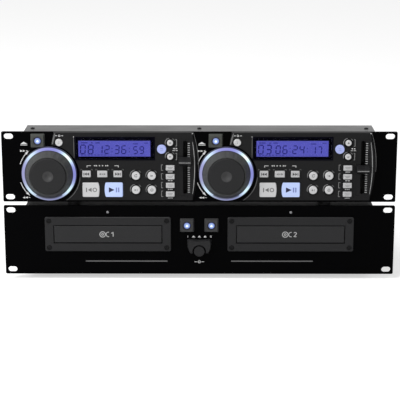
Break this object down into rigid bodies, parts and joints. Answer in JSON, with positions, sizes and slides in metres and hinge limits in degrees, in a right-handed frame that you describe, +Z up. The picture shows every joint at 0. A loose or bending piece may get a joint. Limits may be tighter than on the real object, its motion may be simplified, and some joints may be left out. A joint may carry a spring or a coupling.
{
  "type": "dual disc player for a rack",
  "caption": "Rack transport unit with two sliding disc trays, and a control unit with two decks of keys, jog wheels and pitch sliders standing on it.",
  "frame": {"origin": "middle of the whole width and depth, on the plane under the transport's rubber feet", "axes": "+X to the right seen from the front, +Y towards the back panel, +Z up"},
  "size_m": [0.4826, 0.2764, 0.1879],
  "materials": {
    "panel_black": "black powder-coated sheet, faintly glossy",
    "case_steel": "black coated sheet steel",
    "cover_black": "satin black painted sheet steel",
    "surround_plastic": "dark grey moulded plastic",
    "drive_plastic": "dark moulded plastic",
    "transformer_steel": "laminated steel core",
    "deck_plastic": "black moulded plastic, finely textured",
    "clear_plastic": "clear moulded plastic lit blue from behind",
    "foot_rubber": "black rubber",
    "board_green": "green circuit board with plated sockets",
    "screw_black": "blackened steel",
    "key_white": "white translucent plastic",
    "key_lit": "white translucent plastic lit pale blue",
    "lens_blue": "clear lens lit blue",
    "shuttle_plastic": "dark grey satin plastic",
    "jog_rubber": "dark grey rubberised plastic",
    "knob_black": "black moulded plastic",
    "tray_plastic": "black moulded plastic",
    "power_plastic": "dark grey moulded plastic"
  },
  "bodies": {
    "housing": {"transport_front_panel": "panel_black", "transport_chassis": "case_steel", "transport_top_cover": "cover_black", "front_surrounds": "surround_plastic", "disc_drives": "drive_plastic", "power_supply": "transformer_steel", "control_front_panel": "panel_black", "control_case": "cover_black", "deck_plates": "deck_plastic", "windows_and_light_rings": "clear_plastic", "rubber_feet": "foot_rubber", "circuit_boards": "board_green", "screws": "screw_black"},
    "time_button_deck1": {"time_button_deck1": "key_white"},
    "pitch_button_deck1": {"pitch_button_deck1": "key_lit"},
    "bend_plus_button_deck1": {"bend_plus_button_deck1": "key_white"},
    "bend_minus_button_deck1": {"bend_minus_button_deck1": "key_white"},
    "skip_back_button_deck1": {"skip_back_button_deck1": "key_white"},
    "search_button_deck1": {"search_button_deck1": "key_white"},
    "skip_forward_button_deck1": {"skip_forward_button_deck1": "key_white"},
    "cue_button_deck1": {"cue_button_deck1": "key_white"},
    "play_button_deck1": {"play_button_deck1": "key_lit"},
    "round_button_1a_deck1": {"round_button_1a_deck1": "key_white"},
    "round_button_1b_deck1": {"round_button_1b_deck1": "key_white"},
    "round_button_2a_deck1": {"round_button_2a_deck1": "key_white"},
    "round_button_2b_deck1": {"round_button_2b_deck1": "key_white"},
    "bar_button_1_deck1": {"bar_button_1_deck1": "key_white"},
    "bar_button_2_deck1": {"bar_button_2_deck1": "key_white"},
    "bar_button_3_deck1": {"bar_button_3_deck1": "key_white"},
    "bar_button_4_deck1": {"bar_button_4_deck1": "key_white"},
    "eject_button_deck1": {"eject_button_deck1": "lens_blue"},
    "shuttle_ring_deck1": {"shuttle_ring_deck1": "shuttle_plastic"},
    "jog_disc_deck1": {"jog_disc_deck1": "jog_rubber"},
    "pitch_slider_deck1": {"pitch_slider_deck1": "knob_black"},
    "time_button_deck2": {"time_button_deck2": "key_white"},
    "pitch_button_deck2": {"pitch_button_deck2": "key_lit"},
    "bend_plus_button_deck2": {"bend_plus_button_deck2": "key_white"},
    "bend_minus_button_deck2": {"bend_minus_button_deck2": "key_white"},
    "skip_back_button_deck2": {"skip_back_button_deck2": "key_white"},
    "search_button_deck2": {"search_button_deck2": "key_white"},
    "skip_forward_button_deck2": {"skip_forward_button_deck2": "key_white"},
    "cue_button_deck2": {"cue_button_deck2": "key_white"},
    "play_button_deck2": {"play_button_deck2": "key_lit"},
    "round_button_1a_deck2": {"round_button_1a_deck2": "key_white"},
    "round_button_1b_deck2": {"round_button_1b_deck2": "key_white"},
    "round_button_2a_deck2": {"round_button_2a_deck2": "key_white"},
    "round_button_2b_deck2": {"round_button_2b_deck2": "key_white"},
    "bar_button_1_deck2": {"bar_button_1_deck2": "key_white"},
    "bar_button_2_deck2": {"bar_button_2_deck2": "key_white"},
    "bar_button_3_deck2": {"bar_button_3_deck2": "key_white"},
    "bar_button_4_deck2": {"bar_button_4_deck2": "key_white"},
    "eject_button_deck2": {"eject_button_deck2": "lens_blue"},
    "shuttle_ring_deck2": {"shuttle_ring_deck2": "shuttle_plastic"},
    "jog_disc_deck2": {"jog_disc_deck2": "jog_rubber"},
    "pitch_slider_deck2": {"pitch_slider_deck2": "knob_black"},
    "disc_tray_1": {"disc_tray_1": "tray_plastic"},
    "eject_button_drive1": {"eject_button_drive1": "lens_blue"},
    "disc_tray_2": {"disc_tray_2": "tray_plastic"},
    "eject_button_drive2": {"eject_button_drive2": "lens_blue"},
    "power_button": {"power_button": "power_plastic"}
  },
  "joints": [
    {"name": "time_button_deck1_press", "type": "slide", "parent": "housing", "child": "time_button_deck1", "axis": [0, 1, 0], "range_m": [0, 0.001], "stiffness_N_per_m": 250},
    {"name": "pitch_button_deck1_press", "type": "slide", "parent": "housing", "child": "pitch_button_deck1", "axis": [0, 1, 0], "range_m": [0, 0.001], "stiffness_N_per_m": 250},
    {"name": "bend_plus_button_deck1_press", "type": "slide", "parent": "housing", "child": "bend_plus_button_deck1", "axis": [0, 1, 0], "range_m": [0, 0.001], "stiffness_N_per_m": 250},
    {"name": "bend_minus_button_deck1_press", "type": "slide", "parent": "housing", "child": "bend_minus_button_deck1", "axis": [0, 1, 0], "range_m": [0, 0.001], "stiffness_N_per_m": 250},
    {"name": "skip_back_button_deck1_press", "type": "slide", "parent": "housing", "child": "skip_back_button_deck1", "axis": [0, 1, 0], "range_m": [0, 0.001], "stiffness_N_per_m": 250},
    {"name": "search_button_deck1_press", "type": "slide", "parent": "housing", "child": "search_button_deck1", "axis": [0, 1, 0], "range_m": [0, 0.001], "stiffness_N_per_m": 250},
    {"name": "skip_forward_button_deck1_press", "type": "slide", "parent": "housing", "child": "skip_forward_button_deck1", "axis": [0, 1, 0], "range_m": [0, 0.001], "stiffness_N_per_m": 250},
    {"name": "cue_button_deck1_press", "type": "slide", "parent": "housing", "child": "cue_button_deck1", "axis": [0, 1, 0], "range_m": [0, 0.001], "stiffness_N_per_m": 250},
    {"name": "play_button_deck1_press", "type": "slide", "parent": "housing", "child": "play_button_deck1", "axis": [0, 1, 0], "range_m": [0, 0.001], "stiffness_N_per_m": 250},
    {"name": "round_button_1a_deck1_press", "type": "slide", "parent": "housing", "child": "round_button_1a_deck1", "axis": [0, 1, 0], "range_m": [0, 0.001], "stiffness_N_per_m": 250},
    {"name": "round_button_1b_deck1_press", "type": "slide", "parent": "housing", "child": "round_button_1b_deck1", "axis": [0, 1, 0], "range_m": [0, 0.001], "stiffness_N_per_m": 250},
    {"name": "round_button_2a_deck1_press", "type": "slide", "parent": "housing", "child": "round_button_2a_deck1", "axis": [0, 1, 0], "range_m": [0, 0.001], "stiffness_N_per_m": 250},
    {"name": "round_button_2b_deck1_press", "type": "slide", "parent": "housing", "child": "round_button_2b_deck1", "axis": [0, 1, 0], "range_m": [0, 0.001], "stiffness_N_per_m": 250},
    {"name": "bar_button_1_deck1_press", "type": "slide", "parent": "housing", "child": "bar_button_1_deck1", "axis": [0, 1, 0], "range_m": [0, 0.001], "stiffness_N_per_m": 250},
    {"name": "bar_button_2_deck1_press", "type": "slide", "parent": "housing", "child": "bar_button_2_deck1", "axis": [0, 1, 0], "range_m": [0, 0.001], "stiffness_N_per_m": 250},
    {"name": "bar_button_3_deck1_press", "type": "slide", "parent": "housing", "child": "bar_button_3_deck1", "axis": [0, 1, 0], "range_m": [0, 0.001], "stiffness_N_per_m": 250},
    {"name": "bar_button_4_deck1_press", "type": "slide", "parent": "housing", "child": "bar_button_4_deck1", "axis": [0, 1, 0], "range_m": [0, 0.001], "stiffness_N_per_m": 250},
    {"name": "eject_button_deck1_press", "type": "slide", "parent": "housing", "child": "eject_button_deck1", "axis": [0, 1, 0], "range_m": [0, 0.001], "stiffness_N_per_m": 250},
    {"name": "shuttle_ring_deck1_turn", "type": "hinge", "parent": "housing", "child": "shuttle_ring_deck1", "pos_m": [-0.1838, -0.13075, 0.13565], "axis": [0, 1, 0], "range_deg": [-45, 45], "stiffness_Nm_per_rad": 0.02},
    {"name": "jog_disc_deck1_spin", "type": "hinge", "parent": "housing", "child": "jog_disc_deck1", "pos_m": [-0.1838, -0.13675, 0.13565], "axis": [0, 1, 0], "continuous": true},
    {"name": "pitch_slider_deck1_slide", "type": "slide", "parent": "housing", "child": "pitch_slider_deck1", "axis": [0, 0, 1], "range_m": [-0.038, 0.022]},
    {"name": "time_button_deck2_press", "type": "slide", "parent": "housing", "child": "time_button_deck2", "axis": [0, 1, 0], "range_m": [0, 0.001], "stiffness_N_per_m": 250},
    {"name": "pitch_button_deck2_press", "type": "slide", "parent": "housing", "child": "pitch_button_deck2", "axis": [0, 1, 0], "range_m": [0, 0.001], "stiffness_N_per_m": 250},
    {"name": "bend_plus_button_deck2_press", "type": "slide", "parent": "housing", "child": "bend_plus_button_deck2", "axis": [0, 1, 0], "range_m": [0, 0.001], "stiffness_N_per_m": 250},
    {"name": "bend_minus_button_deck2_press", "type": "slide", "parent": "housing", "child": "bend_minus_button_deck2", "axis": [0, 1, 0], "range_m": [0, 0.001], "stiffness_N_per_m": 250},
    {"name": "skip_back_button_deck2_press", "type": "slide", "parent": "housing", "child": "skip_back_button_deck2", "axis": [0, 1, 0], "range_m": [0, 0.001], "stiffness_N_per_m": 250},
    {"name": "search_button_deck2_press", "type": "slide", "parent": "housing", "child": "search_button_deck2", "axis": [0, 1, 0], "range_m": [0, 0.001], "stiffness_N_per_m": 250},
    {"name": "skip_forward_button_deck2_press", "type": "slide", "parent": "housing", "child": "skip_forward_button_deck2", "axis": [0, 1, 0], "range_m": [0, 0.001], "stiffness_N_per_m": 250},
    {"name": "cue_button_deck2_press", "type": "slide", "parent": "housing", "child": "cue_button_deck2", "axis": [0, 1, 0], "range_m": [0, 0.001], "stiffness_N_per_m": 250},
    {"name": "play_button_deck2_press", "type": "slide", "parent": "housing", "child": "play_button_deck2", "axis": [0, 1, 0], "range_m": [0, 0.001], "stiffness_N_per_m": 250},
    {"name": "round_button_1a_deck2_press", "type": "slide", "parent": "housing", "child": "round_button_1a_deck2", "axis": [0, 1, 0], "range_m": [0, 0.001], "stiffness_N_per_m": 250},
    {"name": "round_button_1b_deck2_press", "type": "slide", "parent": "housing", "child": "round_button_1b_deck2", "axis": [0, 1, 0], "range_m": [0, 0.001], "stiffness_N_per_m": 250},
    {"name": "round_button_2a_deck2_press", "type": "slide", "parent": "housing", "child": "round_button_2a_deck2", "axis": [0, 1, 0], "range_m": [0, 0.001], "stiffness_N_per_m": 250},
    {"name": "round_button_2b_deck2_press", "type": "slide", "parent": "housing", "child": "round_button_2b_deck2", "axis": [0, 1, 0], "range_m": [0, 0.001], "stiffness_N_per_m": 250},
    {"name": "bar_button_1_deck2_press", "type": "slide", "parent": "housing", "child": "bar_button_1_deck2", "axis": [0, 1, 0], "range_m": [0, 0.001], "stiffness_N_per_m": 250},
    {"name": "bar_button_2_deck2_press", "type": "slide", "parent": "housing", "child": "bar_button_2_deck2", "axis": [0, 1, 0], "range_m": [0, 0.001], "stiffness_N_per_m": 250},
    {"name": "bar_button_3_deck2_press", "type": "slide", "parent": "housing", "child": "bar_button_3_deck2", "axis": [0, 1, 0], "range_m": [0, 0.001], "stiffness_N_per_m": 250},
    {"name": "bar_button_4_deck2_press", "type": "slide", "parent": "housing", "child": "bar_button_4_deck2", "axis": [0, 1, 0], "range_m": [0, 0.001], "stiffness_N_per_m": 250},
    {"name": "eject_button_deck2_press", "type": "slide", "parent": "housing", "child": "eject_button_deck2", "axis": [0, 1, 0], "range_m": [0, 0.001], "stiffness_N_per_m": 250},
    {"name": "shuttle_ring_deck2_turn", "type": "hinge", "parent": "housing", "child": "shuttle_ring_deck2", "pos_m": [0.0332, -0.13075, 0.13565], "axis": [0, 1, 0], "range_deg": [-45, 45], "stiffness_Nm_per_rad": 0.02},
    {"name": "jog_disc_deck2_spin", "type": "hinge", "parent": "housing", "child": "jog_disc_deck2", "pos_m": [0.0332, -0.13675, 0.13565], "axis": [0, 1, 0], "continuous": true},
    {"name": "pitch_slider_deck2_slide", "type": "slide", "parent": "housing", "child": "pitch_slider_deck2", "axis": [0, 0, 1], "range_m": [-0.0277, 0.0323]},
    {"name": "disc_tray_1_slide", "type": "slide", "parent": "housing", "child": "disc_tray_1", "axis": [0, -1, 0], "range_m": [0, 0.134]},
    {"name": "eject_button_drive1_press", "type": "slide", "parent": "housing", "child": "eject_button_drive1", "axis": [0, 1, 0], "range_m": [0, 0.001], "stiffness_N_per_m": 250},
    {"name": "disc_tray_2_slide", "type": "slide", "parent": "housing", "child": "disc_tray_2", "axis": [0, -1, 0], "range_m": [0, 0.134]},
    {"name": "eject_button_drive2_press", "type": "slide", "parent": "housing", "child": "eject_button_drive2", "axis": [0, 1, 0], "range_m": [0, 0.001], "stiffness_N_per_m": 250},
    {"name": "power_button_press", "type": "slide", "parent": "housing", "child": "power_button", "axis": [0, 1, 0], "range_m": [0, 0.0015], "stiffness_N_per_m": 250}
  ]
}
